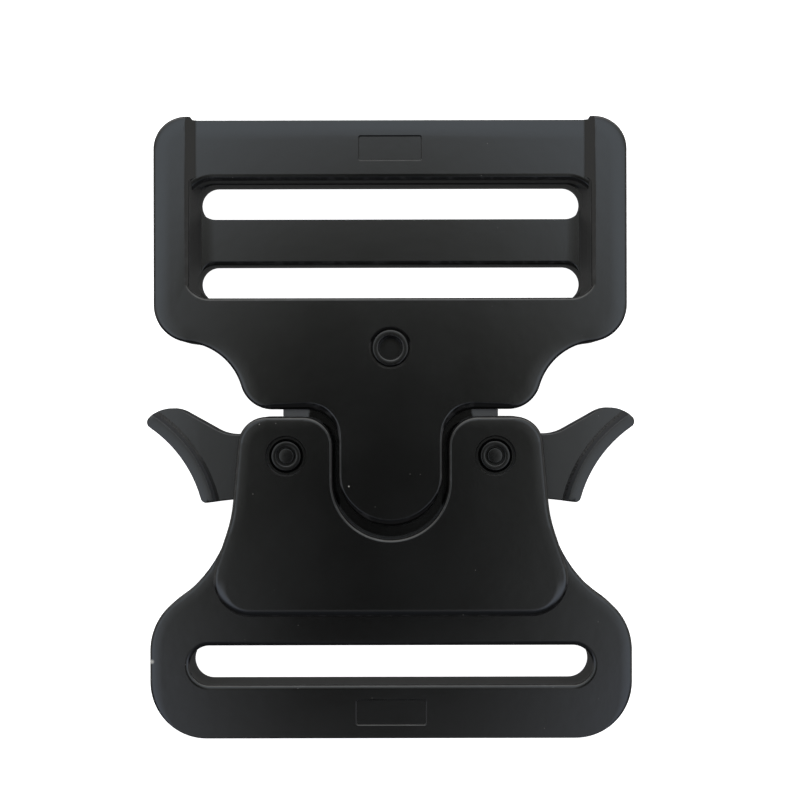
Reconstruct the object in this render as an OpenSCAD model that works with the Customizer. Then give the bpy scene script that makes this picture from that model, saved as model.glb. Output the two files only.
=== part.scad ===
/* [Buckle] */
// Length along the webbing, over both ends
buckle_l = 76.4; // [75:0.2:84]
// Thickness of the lower half's back plate
back_plate_t = 2.6; // [2:0.1:3.2]
// Depth of the cavity that the latch plate and the levers lie in
cavity_t = 4.8; // [4.2:0.1:5.6]
// Thickness of the cover plate
cover_t = 2.6; // [2.3:0.1:3.2]
// Gap between the shoulders of the two halves
shoulder_gap = 0.9; // [0.4:0.1:1.1]

/* [Adjuster half] */
// Width over the rails
adjuster_w = 57.8; // [57.4:0.2:62]
// Width of a rail at its front
rail_w = 4.3; // [3.8:0.1:4.7]
// Lean of the rails' inner faces, in degrees
rail_lean = 17; // [5:1:20]
// Radius of the blend at the foot of the rails' inner faces
rail_foot_r = 2.5; // [1:0.5:3]
// How far the rails' tips stand beyond the top bar
rail_tip = 0.35; // [0.1:0.05:0.8]
// Height of the top bar, with the rails' tips
top_bar_h = 7.9; // [6.5:0.1:8.5]
// How far the top bar's front lies behind the rails
top_bar_drop = 1; // [0.5:0.1:2]
// Height of the middle bar between the two slots
middle_bar_h = 5.7; // [4.6:0.1:6.2]
// Thickness of the middle bar
middle_bar_t = 5.5; // [4:0.1:6.5]
// Length of the two slots
adjuster_slot_l = 47.7; // [46:0.1:48.2]
// Height of the two slots
adjuster_slot_h = 4.3; // [4.1:0.1:4.7]
// Width over the shoulders, between the round hollows
shoulder_w = 36.8; // [35:0.2:38]

/* [Tongue and latch plate] */
// Width of the tongue
tongue_w = 12.7; // [11.8:0.1:13.4]
// Length of the tongue, from the shoulders to its round end
tongue_l = 14.3; // [13:0.1:14.8]
// Thickness of the tongue
tongue_t = 2.75; // [2.3:0.05:2.8]
// Width of the latch plate's neck
neck_w = 12.6; // [11.6:0.1:12.7]
// Width of the latch plate's head
head_w = 16.4; // [15.4:0.1:16.4]
// Distance from the pivots down to the end of the head
head_drop = 13.6; // [13:0.1:14.6]

/* [Lower half] */
// Width of the foot
base_w = 59.5; // [58.6:0.1:62]
// Width over the lobes
lobe_w = 37.3; // [36.6:0.1:38]
// Height of the bar under the webbing slot
foot_bar_h = 6.6; // [5.6:0.1:7.2]
// Length of the webbing slot
base_slot_l = 49.7; // [48:0.1:50.2]
// Height of the webbing slot
base_slot_h = 4.85; // [4.2:0.05:5.2]
// Length of the cover plate, over its lobes
cover_l = 24.4; // [23.6:0.1:25]
// Width of the notch in the cover plate
notch_w = 14.2; // [13.8:0.1:14.6]
// Width of the cavity below the levers
cavity_w = 32.8; // [32:0.2:33.4]

/* [Levers] */
// Distance between the two pivots
pivot_span = 25.6; // [25.4:0.1:26]
// Gap between a plate in the cavity and the plates over and under it
plate_gap = 0.2; // [0.1:0.05:0.3]
// Radius of the hollow that the thumb presses
thumb_r = 15.7; // [15:0.1:17]
// Width of the thumb face, from back to front
thumb_w = 6; // [5:0.5:8]
// Thickness of the thumb face
thumb_t = 1.6; // [1.2:0.1:2]
// Gap between a tooth and the head that it holds
tooth_gap = 0.15; // [0.1:0.05:0.3]
// Gap between a tooth and the neck beside it
neck_gap = 0.2; // [0.1:0.05:0.4]

/* [Rivets] */
// Diameter of the pivots
pivot_d = 3; // [2.6:0.1:3.2]
// Diameter of the latch rivet
latch_rivet_d = 3.6; // [3.2:0.1:3.8]
// Radial gap round a rivet
pin_gap = 0.05; // [0.03:0.01:0.08]

/* [Hidden] */
$fn = 72;

coating = "#28282b";
steel = "#3c3d41";

// How far a cut runs past the face that it opens
past = 1;

// Levels, from the back face at z = 0
cavity_z = back_plate_t;
cover_z = cavity_z + cavity_t;
front_z = cover_z + cover_t;
plate_z = cavity_z + plate_gap;
plate_t = cavity_t - 2 * plate_gap;
top_bar_z = front_z - top_bar_drop;

// Heights along the webbing, from the middle of the buckle
top_y = buckle_l / 2;
pocket_top = top_y - top_bar_h;
upper_slot_y = pocket_top - adjuster_slot_h / 2;
lower_slot_y = upper_slot_y - adjuster_slot_h - middle_bar_h;
pocket_bottom = lower_slot_y - adjuster_slot_h / 2;
lobe_top = 1.5;
shoulder_y = lobe_top + shoulder_gap;
cover_bottom = lobe_top - cover_l;
base_slot_y = foot_bar_h + base_slot_h / 2 - top_y;
pivot = [pivot_span / 2, -3.3];
latch_rivet_y = 9.9;

// Outlines are drawn as a belt round discs, each [x, y, radius], with the piece on the left.
// A negative radius makes the disc a hollow, and a radius of 0 makes it a sharp corner.

// Direction in which the belt runs straight from one disc to the next
function heading(from, to) =
    let (way = [to.x - from.x, to.y - from.y],
         lean = asin(max(-1, min(1, (from.z - to.z) / norm(way)))))
    atan2(way.y, way.x) + lean;

// Angle that the belt turns at a disc: to the left round a solid one, to the right in a hollow
function turn_at(radius, before, after) =
    let (left = ((after - before) % 360 + 360) % 360)
    radius > 0 ? (left > 359.9 ? 0 : left) : (left < 0.1 ? 0 : left - 360);

// Points of the belt where it lies on a disc
function arc_at(disc, before, after) =
    let (turn = turn_at(disc.z, before, after),
         steps = disc.z == 0 ? 0 : ceil(abs(turn) * $fn / 360))
    [for (i = [0:steps])
        let (angle = before + turn * i / max(1, steps))
        [disc.x + disc.z * sin(angle), disc.y - disc.z * cos(angle)]];

// Points of the whole belt, without repeats where one arc runs straight into the next
function outline(discs) =
    let (count = len(discs),
         headings = [for (i = [0:count - 1]) heading(discs[i], discs[(i + 1) % count])],
         points = [for (i = [0:count - 1])
             each arc_at(discs[i], headings[(i + count - 1) % count], headings[i])])
    [for (i = [0:len(points) - 1])
        if (norm(points[(i + 1) % len(points)] - points[i]) > 0.001) points[i]];

// The right half's discs, from bottom to top, followed by their mirror images
function both_halves(right) =
    concat(right, [for (i = [len(right) - 1:-1:0])
        if (right[i].x > 0) [-right[i].x, right[i].y, right[i].z]]);

// Where the circles round two centres cross, on the left of the way from the first to the second
function crossing(a, a_r, b, b_r) =
    let (way = b - a,
         along = (norm(way) + (a_r * a_r - b_r * b_r) / norm(way)) / 2,
         across = sqrt(a_r * a_r - along * along))
    a + (along * way + across * [-way.y, way.x]) / norm(way);

// Discs of the adjuster half, on the right
shoulder_r = 4;
side_r = 4.6;
side_hollow_r = 7.5;
rail_r = 4;
shoulder_disc = [shoulder_w / 2 - shoulder_r, shoulder_y + shoulder_r, shoulder_r];
side_disc = [adjuster_w / 2 - side_r, pocket_bottom - 0.8, side_r];
rail_disc = [adjuster_w / 2 - rail_r, top_y - rail_r, rail_r];
side_hollow = concat(
    crossing([side_disc.x, side_disc.y], side_r + side_hollow_r,
             [shoulder_disc.x, shoulder_disc.y], shoulder_r + side_hollow_r),
    -side_hollow_r);
tongue_end = [0, shoulder_y - tongue_l + tongue_w / 2, tongue_w / 2];
tongue_fillet = [tongue_w / 2 + 4, shoulder_y - 4, -4];

// Discs of the lower half, on the right
hip_r = 7.5;
foot_r = 7;
lobe_r = 3.5;
waist_r = 16.6;
cover_r = 4.6;
notch_lip_r = 3.6;
lobe_disc = [lobe_w / 2 - lobe_r, lobe_top - lobe_r, lobe_r];
waist_hollow = [lobe_w / 2 + 0.55 + waist_r, -7.4, -waist_r];
hip_x = base_w / 2 - hip_r;
hip_disc = [hip_x, waist_hollow.y - sqrt(pow(waist_r + hip_r, 2) - pow(waist_hollow.x - hip_x, 2)), hip_r];
foot_disc = [base_w / 2 - foot_r, foot_r - top_y, foot_r];
cover_disc = [17.1, cover_bottom + cover_r, cover_r];
notch_lip = [notch_w / 2 + notch_lip_r, lobe_top - notch_lip_r, notch_lip_r];
notch_end = [0, -6.4, -notch_w / 2];
cavity_top = -8.95;
cavity_disc = [cavity_w / 2 - 4, cover_bottom + 8.1, 4];

// Latch plate
root_w = 26.5;
root_h = 3.2;
stem_w = 16;
stem_top = 13;
root_clearance = 0.1;
neck_fillet_r = 3.9;
head_corner_r = 3;
root_bottom = shoulder_y - 1.2;
neck_fillet = [neck_w / 2 + neck_fillet_r, root_bottom - neck_fillet_r, -neck_fillet_r];
head_disc = [head_w / 2 - head_corner_r, pivot.y - head_drop + head_corner_r, head_corner_r];

// Right lever, from its pivot
tooth_r = 10.45;
boss_r = 3.9;
nose_r = 3.7;
crook_r = 5;
tip_r = 0.8;
heel_r = 0.7;
heel_y = -5.1;
nose = [14.3, 2.17];
thumb_centre = [10.04 + thumb_r, -9.46];
tip = crossing(nose, nose_r - tip_r, thumb_centre, thumb_r + tip_r);
heel = [thumb_centre.x - sqrt(pow(thumb_r + heel_r, 2) - pow(thumb_centre.y - heel_y, 2)), heel_y];
crook = [6.24, 7.63];
lever_discs = [
    [heel.x, heel.y, heel_r],
    [thumb_centre.x, thumb_centre.y, -thumb_r],
    [tip.x, tip.y, tip_r],
    [nose.x, nose.y, nose_r],
    [crook.x, crook.y, -crook_r],
    [0, 0, boss_r],
    [-1.2, -7.7, 2.2],
    [1.1, -6.1, 0],
    [3.2, -5, 0],
    [6.4, -5.4, 0]
];
tooth_x = neck_w / 2 + neck_gap - pivot.x;
tooth_corners = [
    [tooth_x, -6.8], [tooth_x, -12], [-0.3, -12], [-0.3, -4.4], [-3.4, -3.1]
];

module plate(discs, z, t) {
    translate([0, 0, z]) linear_extrude(t) polygon(outline(discs));
}

module block(w, bottom, top, z, t) {
    translate([-w / 2, bottom, z]) cube([w, top - bottom, t]);
}

module slot(y, l, h) {
    reach = (l - h) / 2;
    plate([[-reach, y, h / 2], [reach, y, h / 2]], -past, front_z + 2 * past);
}

module on_both_sides() {
    children();
    mirror([1, 0, 0]) children();
}

module at_pivot() {
    translate([pivot.x, pivot.y, 0]) children();
}

// Shallow sunk panel in a bar's front
module panel(w, h, y, z) {
    depth = 0.25;
    block(w, y - h / 2, y + h / 2, z - depth, depth + past);
}

// Hollow between the rails, over a floor at the given level, up to a top bar with round ends
module between_rails(plan, floor_z) {
    rail_x = adjuster_w / 2 - rail_w;
    foot_z = middle_bar_t + rail_foot_r;
    foot_x = rail_x - (front_z - foot_z) * tan(rail_lean) - rail_foot_r / cos(rail_lean);
    intersection() {
        translate([0, top_y + past, 0]) rotate([90, 0, 0])
            linear_extrude(top_y + past)
                polygon(outline(both_halves([
                    [foot_x, foot_z, rail_foot_r],
                    [rail_x + past * tan(rail_lean), front_z + past, 0]
                ])));
        plate(plan, floor_z, front_z + 2 * past - floor_z);
    }
}

module adjuster_body() {
    sides = [shoulder_disc, side_hollow, side_disc, rail_disc];
    tongue_z = front_z - tongue_t;
    pocket_half = adjuster_w / 2 - rail_w + 0.3;
    pocket_foot = [pocket_half - 2.8, pocket_bottom + 2.8, 2.8];
    pocket_head = [pocket_half - 3.2, pocket_top + 0.15 - 3.2, 3.2];
    tip_inner_x = adjuster_w / 2 - 4.5;
    color(coating) difference() {
        union() {
            plate(both_halves(sides), 0, tongue_z);
            plate(both_halves(concat([tongue_end, tongue_fillet], sides)), tongue_z, tongue_t);
        }
        slot(upper_slot_y, adjuster_slot_l, adjuster_slot_h);
        slot(lower_slot_y, adjuster_slot_l, adjuster_slot_h);
        between_rails(both_halves([pocket_foot, pocket_head]), middle_bar_t - past);
        between_rails(both_halves([pocket_foot, [pocket_half, top_y + 2 * past, 0]]), top_bar_z);
        block(2 * tip_inner_x, top_y - rail_tip, top_y + past, -past, front_z + 2 * past);
        panel(7.9, 3.2, top_y - 3.8, top_bar_z);
        latch_pocket();
        translate([0, latch_rivet_y, 0]) latch_rivet_seat();
    }
}

// Room for the root and the stem of the latch plate
module latch_pocket() {
    z = plate_z - pin_gap;
    t = plate_t + 2 * pin_gap;
    block(root_w + 2 * root_clearance, shoulder_y - past, root_bottom + root_h + 1.3, z, t);
    block(stem_w + 2 * root_clearance, shoulder_y, stem_top + root_clearance, z, t);
}

module latch_plate() {
    root_top = root_bottom + root_h + 1.2;
    head_top = pivot.y - tooth_r + 2;
    color(steel) difference() {
        union() {
            plate(both_halves([
                [neck_w / 2, head_disc.y, 0],
                neck_fillet,
                [root_w / 2 - 0.5, root_bottom + 0.5, 0.5],
                [root_w / 2 - 0.5, root_top - 0.5, 0.5],
                [stem_w / 2, root_top, 0],
                [stem_w / 2 - 0.5, stem_top - 0.5, 0.5]
            ]), plate_z, plate_t);
            difference() {
                plate(both_halves([head_disc, [head_w / 2, head_top, 0]]), plate_z, plate_t);
                on_both_sides() at_pivot()
                    cylinder(front_z, r = tooth_r + tooth_gap);
            }
        }
        translate([0, latch_rivet_y, 0]) cylinder(front_z, r = latch_rivet_d / 2 + pin_gap);
    }
}

module base_frame() {
    color(coating) difference() {
        plate(both_halves([foot_disc, hip_disc, waist_hollow, lobe_disc]), 0, cover_z);
        slot(base_slot_y, base_slot_l, base_slot_h);
        plate(both_halves([cavity_disc, [cavity_w / 2, lobe_top, 0]]), cavity_z, cavity_t + past);
        block(base_w, cavity_top, lobe_top + past, cavity_z, cavity_t + past);
        panel(8.8, 3.3, 3.2 - top_y, cover_z);
        on_both_sides() at_pivot() pivot_seat();
    }
}

module cover_plate() {
    color(coating) difference() {
        plate(both_halves([cover_disc, waist_hollow, lobe_disc, notch_lip, notch_end]), cover_z, cover_t);
        on_both_sides() at_pivot() pivot_seat();
    }
}

// Right lever: the plate with its hook, and the wider thumb face along the hollow
module lever() {
    color(coating) at_pivot() difference() {
        union() {
            plate(lever_discs, plate_z, plate_t);
            translate([0, 0, plate_z]) linear_extrude(plate_t) intersection() {
                circle(tooth_r);
                polygon(tooth_corners);
            }
            translate([0, 0, (front_z - thumb_w) / 2]) linear_extrude(thumb_w) intersection() {
                polygon(outline(lever_discs));
                translate(thumb_centre) circle(thumb_r + thumb_t);
            }
        }
        cylinder(front_z, d = pivot_d + 2 * pin_gap);
    }
}

module lever_right() {
    lever();
}

module lever_left() {
    mirror([1, 0, 0]) lever();
}

// Rivets are turned profiles of [radius, height]: a flush head at the back and a tube at the front
pivot_r = pivot_d / 2;
latch_rivet_r = latch_rivet_d / 2;
back_head = 0.9;
back_sink = 0.1;

module pivot_rivet() {
    ring_z = front_z - 1.1;
    color(coating) at_pivot() rotate_extrude() polygon([
        [0, back_sink],
        [pivot_r + back_head, back_sink],
        [pivot_r, back_sink + back_head],
        [pivot_r, ring_z - 0.5],
        [pivot_r + 0.3, ring_z],
        [pivot_r + 0.3, front_z - 0.4],
        [pivot_r - 0.35, front_z - 0.4],
        [pivot_r - 0.35, ring_z],
        [0, ring_z - 0.4]
    ]);
}

// Hole, back sink and front sink that a pivot rivet sits in
module pivot_seat() {
    ring_z = front_z - 1.1;
    hole_r = pivot_r + pin_gap;
    rotate_extrude() polygon([
        [0, -past],
        [hole_r + back_head + back_sink, -past],
        [hole_r + back_head + back_sink, 0],
        [hole_r, back_head + back_sink],
        [hole_r, ring_z - 0.5],
        [hole_r + 0.3, ring_z],
        [pivot_r + 0.87, ring_z],
        [pivot_r + 0.87, front_z + past],
        [0, front_z + past]
    ]);
}

module pivot_rivet_right() {
    pivot_rivet();
}

module pivot_rivet_left() {
    mirror([1, 0, 0]) pivot_rivet();
}

module latch_rivet() {
    head_z = front_z - 1.4;
    color(coating) translate([0, latch_rivet_y, 0]) rotate_extrude() polygon([
        [0, back_sink],
        [latch_rivet_r + back_head, back_sink],
        [latch_rivet_r, back_sink + back_head],
        [latch_rivet_r, head_z],
        [latch_rivet_r + 0.45, head_z],
        [latch_rivet_r + 0.45, front_z - 0.2],
        [latch_rivet_r - 0.4, front_z - 0.2],
        [latch_rivet_r - 0.4, front_z - 4.2],
        [0, front_z - 4.2]
    ]);
}

// Hole, back sink and stepped front sink that the latch rivet sits in
module latch_rivet_seat() {
    hole_r = latch_rivet_r + pin_gap;
    head_r = latch_rivet_r + 0.55;
    head_z = front_z - 1.45;
    rotate_extrude() polygon([
        [0, -past],
        [hole_r + back_head + back_sink, -past],
        [hole_r + back_head + back_sink, 0],
        [hole_r, back_head + back_sink],
        [hole_r, head_z],
        [head_r, head_z],
        [head_r, front_z - 0.25],
        [head_r + 0.25, front_z],
        [head_r + 0.25, front_z + past],
        [0, front_z + past]
    ]);
}

adjuster_body();
latch_plate();
latch_rivet();
base_frame();
cover_plate();
lever_left();
lever_right();
pivot_rivet_left();
pivot_rivet_right();
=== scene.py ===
"""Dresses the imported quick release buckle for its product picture.

Each piece is modelled at the sizes of its solid, with the rounded rims and soft crowns of cast and stamped
metal, and gets one of four procedural finishes. A white floor, soft light from all sides and a camera
straight above the buckle complete the picture.
"""

import logging
import math
from collections.abc import Callable, Sequence
from dataclasses import dataclass
from enum import Enum

import bmesh
import bpy
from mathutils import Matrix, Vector


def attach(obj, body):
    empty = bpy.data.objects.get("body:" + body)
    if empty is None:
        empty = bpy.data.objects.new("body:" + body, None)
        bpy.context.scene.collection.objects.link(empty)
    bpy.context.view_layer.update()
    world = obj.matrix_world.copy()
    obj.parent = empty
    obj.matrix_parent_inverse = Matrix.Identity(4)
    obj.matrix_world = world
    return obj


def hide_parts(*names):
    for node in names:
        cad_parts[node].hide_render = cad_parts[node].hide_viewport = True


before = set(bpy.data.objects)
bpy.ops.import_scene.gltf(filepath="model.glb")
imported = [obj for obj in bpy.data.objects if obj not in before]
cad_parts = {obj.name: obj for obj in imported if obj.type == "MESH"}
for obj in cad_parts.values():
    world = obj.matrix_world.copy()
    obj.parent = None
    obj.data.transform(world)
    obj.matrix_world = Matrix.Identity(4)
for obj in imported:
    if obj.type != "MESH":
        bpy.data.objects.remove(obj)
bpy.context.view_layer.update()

log = logging.getLogger("buckle")

MM = 0.001

# Name of the attribute that tells the finishes where a piece has its rounded edges
EDGE = "edge"

Pair = tuple[float, float]
Triple = tuple[float, float, float]
Settings = dict[str, object]
Inputs = dict[int | str, object]


class Body(Enum):
    """Bodies of the frame that the pieces ride on."""

    BUCKLE = "buckle"
    LEFT_LEVER = "lever_left"
    RIGHT_LEVER = "lever_right"


class Slot(Enum):
    """Material slots of the record."""

    CASTING = "coated_casting"
    LEVER = "coated_lever"
    RIVET = "coated_rivet"
    STEEL = "plated_steel"


class Signal:
    """A number that runs through a finish's nodes. Arithmetic on it adds Math nodes."""

    def __init__(self, sheet: "NodeSheet", socket: bpy.types.NodeSocket) -> None:
        """Holds an output socket and the node sheet that it belongs to."""
        self.sheet = sheet
        self.socket = socket

    def _math(self, operation: str, *values: "Signal | float") -> "Signal":
        """Adds one Math node and returns its result."""
        return self.sheet.signal("ShaderNodeMath", {"operation": operation}, dict(enumerate(values)))

    def __add__(self, other: "Signal | float") -> "Signal":
        """self + other"""
        return self._math("ADD", self, other)

    def __radd__(self, other: float) -> "Signal":
        """other + self"""
        return self._math("ADD", other, self)

    def __sub__(self, other: "Signal | float") -> "Signal":
        """self - other"""
        return self._math("SUBTRACT", self, other)

    def __rsub__(self, other: float) -> "Signal":
        """other - self"""
        return self._math("SUBTRACT", other, self)

    def __mul__(self, other: "Signal | float") -> "Signal":
        """self * other"""
        return self._math("MULTIPLY", self, other)

    def __rmul__(self, other: float) -> "Signal":
        """other * self"""
        return self._math("MULTIPLY", other, self)

    def __truediv__(self, other: "Signal | float") -> "Signal":
        """self / other"""
        return self._math("DIVIDE", self, other)

    def __pow__(self, other: "Signal | float") -> "Signal":
        """self ** other"""
        return self._math("POWER", self, other)

    def __abs__(self) -> "Signal":
        """abs(self)"""
        return self._math("ABSOLUTE", self)

    def ramp(self, low: float, high: float) -> "Signal":
        """Rises smoothly from 0 at low to 1 at high, or falls where high is the smaller one.

        Args:
            low: Value that gives 0.
            high: Value that gives 1.

        Returns:
            The ramped signal.
        """
        settings = {"interpolation_type": "SMOOTHSTEP"}
        if low < high:
            return self.sheet.signal("ShaderNodeMapRange", settings, {0: self, 1: low, 2: high})
        return 1 - self.sheet.signal("ShaderNodeMapRange", settings, {0: self, 1: high, 2: low})

    def ramp_mm(self, low: float, high: float) -> "Signal":
        """The ramp of a length in metres, between two lengths in millimetres."""
        return self.ramp(low * MM, high * MM)


class NodeSheet:
    """Node tree of one material or of the world, with one method that makes every node."""

    def __init__(self, tree: bpy.types.NodeTree) -> None:
        """Empties a node tree and takes it over."""
        self.tree = tree
        tree.nodes.clear()

    def node(self, kind: str, settings: Settings, inputs: Inputs) -> bpy.types.Node:
        """Adds a node, sets it up, and fills or links its sockets.

        Args:
            kind: Blender's name for the type of node.
            settings: Properties that are set first. For a ramp, stops is a list of (place, colour) pairs.
            inputs: Value, Signal or output socket for each input, by its name or number.

        Returns:
            The node.
        """
        made = self.tree.nodes.new(kind)
        for name, value in settings.items():
            if name == "stops":
                self._fill_ramp(made.color_ramp, value)
            else:
                setattr(made, name, value)
        for key, value in inputs.items():
            socket = made.inputs[key]
            source = value.socket if isinstance(value, Signal) else value
            if isinstance(source, bpy.types.NodeSocket):
                self.tree.links.new(source, socket)
            else:
                socket.default_value = source
        return made

    def signal(self, kind: str, settings: Settings, inputs: Inputs, output: int | str = 0) -> Signal:
        """Adds a node as node() does and returns one of its outputs as a signal."""
        return Signal(self, self.node(kind, settings, inputs).outputs[output])

    def mix(self, part: Signal, first: object, second: object, **settings: str) -> bpy.types.NodeSocket:
        """Mixes two colours."""
        settings["data_type"] = "RGBA"
        return self.node("ShaderNodeMix", settings, {0: part, 6: first, 7: second}).outputs[2]

    def place(self, kind: str) -> bpy.types.NodeSocket:
        """One kind of coordinates, by the name of its output."""
        return self.node("ShaderNodeTexCoord", {}, {}).outputs[kind]

    def parts(self, vector: bpy.types.NodeSocket) -> list[Signal]:
        """The three parts of a vector."""
        node = self.node("ShaderNodeSeparateXYZ", {}, {0: vector})
        return [Signal(self, output) for output in node.outputs]

    @staticmethod
    def _fill_ramp(ramp: bpy.types.ColorRamp, stops: list[tuple[float, tuple]]) -> None:
        """Gives a colour ramp its stops.

        Args:
            ramp: The ramp.
            stops: Place and colour of each stop.
        """
        while len(ramp.elements) < len(stops):
            ramp.elements.new(1.0)
        for element, (place, colour) in zip(ramp.elements, stops):
            element.position = place
            element.color = colour


def colour(red: float, green: float, blue: float) -> tuple[float, float, float, float]:
    """An opaque colour from its linear parts."""
    return (red, green, blue, 1.0)


@dataclass(frozen=True)
class Mark:
    """Small light spot on a surface, such as a fleck of dust or a chip in the coating, in millimetres."""

    place: Triple
    size: float
    strength: float

    CORE = 0.4


@dataclass(frozen=True)
class Finish:
    """A coating: a base colour that drifts a little, fine grain, rubbed edges, dust and single marks.

    Steep sides, whose normal's height is below wall_from, take painted light in place of the coat's
    colour: the colour wall, and a lighter one on the rails' inner sides and the slots' walls. Where
    metallic_from is given, the plate turns lighter and metallic beyond that distance from the buckle's
    middle line. Sizes in millimetres.
    """

    name: str
    dark: Triple
    light: Triple
    roughness: float
    roughness_drift: float = 0.02
    drift_size: float = 14.0
    grain_size: float = 0.28
    grain_depth: float = 0.0012
    ripple_size: float = 1.6
    ripple_depth: float = 0.003
    dust_cell: float = 2.4
    dust_size: float = 0.07
    dust_strength: float = 0.25
    rub_size: float = 1.1
    rub_strength: float = 0.6
    # Painted light on steep sides, in place of the coat's colour
    wall: Triple = (0.008, 0.008, 0.008)
    wall_from: float = 0.7
    marks: tuple[Mark, ...] = ()
    metallic_from: float | None = None

    RUBBED = (0.02, 0.02, 0.021)
    DUST = (0.34, 0.33, 0.31)
    DUST_CORE = 0.5
    DRIFT_STOPS = (0.3, 0.7)
    RUBBED_STOPS = (0.5, 0.62)
    GRAIN_ROUGHNESS = 0.03
    RUBBED_ROUGHNESS = 0.06
    WALL_ROUGHNESS = 0.36
    WALL_FADE = 0.28

    # Stronger painted light on the steep sides of the slots and the rails' inner faces, in place of the
    # coat's colour
    # Where it lies: beyond a distance from a middle line, within limits at sides, ends and corners
    RAIL_PAINTED_LIGHT = (0.034, 0.034, 0.034)
    RAIL_LIGHT_MIDDLE = -7.0
    RAIL_LIGHT_FROM = (18.5, 21.5)
    RAIL_LIGHT_SIDES = (27.6, 27.0)
    RAIL_LIGHT_ENDS = (37.6, 37.0)
    RAIL_LIGHT_CORNERS = (62.6, 61.8)

    # Lighter, metallic colour and roughness of the plate beyond a distance from the middle line, with a
    # ragged border
    STEEL = (0.1, 0.098, 0.097)
    STEEL_ROUGHNESS = 0.42
    METALLIC_FADE = 0.4
    RAGGED = 0.6
    RAGGED_SIZE = 0.9

    def build(self) -> bpy.types.Material:
        """Makes the material.

        Returns:
            The finished material.
        """
        material = bpy.data.materials.new(self.name)
        material.use_nodes = True
        sheet = NodeSheet(material.node_tree)
        place = sheet.place("Object")
        drift = self._noise(sheet, place, self.drift_size, detail=3.0).ramp(*self.DRIFT_STOPS)
        grain = self._noise(sheet, place, self.grain_size, detail=2.0)
        ripple = self._noise(sheet, place, self.ripple_size, detail=1.0)
        rubbed = self._rubbed(sheet, place)
        tint = sheet.mix(drift, colour(*self.dark), colour(*self.light))
        tint = sheet.mix(rubbed, tint, colour(*self.RUBBED))
        tint = sheet.mix(self._specks(sheet, place), tint, colour(*self.DUST))
        roughness = (self.roughness + self.roughness_drift * (drift - 0.5)
                     + self.GRAIN_ROUGHNESS * (grain - 0.5) + self.RUBBED_ROUGHNESS * rubbed)
        # Steep sides take painted light in place of the coat's colour, stronger on the slots' walls and
        # rails' inner sides
        walls = self._walls(sheet)
        painted_wall_light = sheet.mix(self._rail_painted_light(sheet, place), colour(*self.wall), colour(*self.RAIL_PAINTED_LIGHT))
        tint = sheet.mix(walls, tint, painted_wall_light)
        roughness = roughness + walls * (self.WALL_ROUGHNESS - self.roughness)
        metallic = 0.0
        # Beyond a distance from the middle line the plate turns lighter and metallic
        if self.metallic_from is not None:
            metallic = self._metallic_ends(sheet, place)
            tint = sheet.mix(metallic, tint, colour(*self.STEEL))
            roughness = roughness + metallic * (self.STEEL_ROUGHNESS - self.roughness)
        height = grain * (self.grain_depth * MM) + ripple * (self.ripple_depth * MM)
        bump = sheet.node("ShaderNodeBump", {}, {"Strength": 1.0, "Distance": 1.0, "Height": height})
        shader = sheet.node("ShaderNodeBsdfPrincipled", {}, {
            "Base Color": tint,
            "Metallic": metallic,
            "Roughness": roughness,
            "Normal": bump.outputs["Normal"],
        })
        sheet.node("ShaderNodeOutputMaterial", {}, {"Surface": shader.outputs["BSDF"]})
        return material

    @staticmethod
    def _noise(sheet: NodeSheet, place: bpy.types.NodeSocket, size: float, detail: float) -> Signal:
        """Noise with features of a size in millimetres, on object coordinates."""
        inputs = {"Vector": place, "Scale": 1 / (size * MM), "Detail": detail}
        return sheet.signal("ShaderNodeTexNoise", {}, inputs)

    def _rubbed(self, sheet: NodeSheet, place: bpy.types.NodeSocket) -> Signal:
        """Patches along the rounded edges where the coating is rubbed.

        Args:
            sheet: The finish's nodes.
            place: Object coordinates.

        Returns:
            How far it is rubbed, from 0 to 1.
        """
        edge = sheet.signal("ShaderNodeAttribute", {"attribute_name": EDGE}, {}, "Fac")
        patches = self._noise(sheet, place, self.rub_size, detail=4.0).ramp(*self.RUBBED_STOPS)
        return edge * patches * self.rub_strength

    def _specks(self, sheet: NodeSheet, place: bpy.types.NodeSocket) -> Signal:
        """Dust that is scattered over the surface, and the single marks.

        Args:
            sheet: The finish's nodes.
            place: Object coordinates.

        Returns:
            Strength of the specks.
        """
        inputs = {"Vector": place, "Scale": 1 / (self.dust_cell * MM)}
        cells = sheet.signal("ShaderNodeTexVoronoi", {}, inputs)
        reach = self.dust_size / self.dust_cell
        specks = cells.ramp(reach, reach * self.DUST_CORE) * self.dust_strength
        for mark in self.marks:
            ends = {0: place, 1: Vector(mark.place) * MM}
            away = sheet.signal("ShaderNodeVectorMath", {"operation": "DISTANCE"}, ends, "Value")
            specks = specks + away.ramp_mm(mark.size, mark.size * Mark.CORE) * mark.strength
        return specks

    def _walls(self, sheet: NodeSheet) -> Signal:
        """Steep sides, where nothing has rubbed the coat smooth and painted light replaces its colour."""
        _, _, height = sheet.parts(sheet.place("Normal"))
        return abs(height).ramp(self.wall_from, self.wall_from - self.WALL_FADE)

    def _rail_painted_light(self, sheet: NodeSheet, place: bpy.types.NodeSocket) -> Signal:
        """The slots and the rails' inner sides, whose steep sides take stronger painted light.

        Args:
            sheet: The finish's nodes.
            place: Object coordinates.

        Returns:
            1 where the stronger painted light goes, 0 elsewhere.
        """
        x, y, _ = sheet.parts(place)
        across, along = abs(x), abs(y)
        ends = abs(y - self.RAIL_LIGHT_MIDDLE * MM).ramp_mm(*self.RAIL_LIGHT_FROM)
        inside = across.ramp_mm(*self.RAIL_LIGHT_SIDES) * along.ramp_mm(*self.RAIL_LIGHT_ENDS)
        return ends * inside * (across + along).ramp_mm(*self.RAIL_LIGHT_CORNERS)

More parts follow.
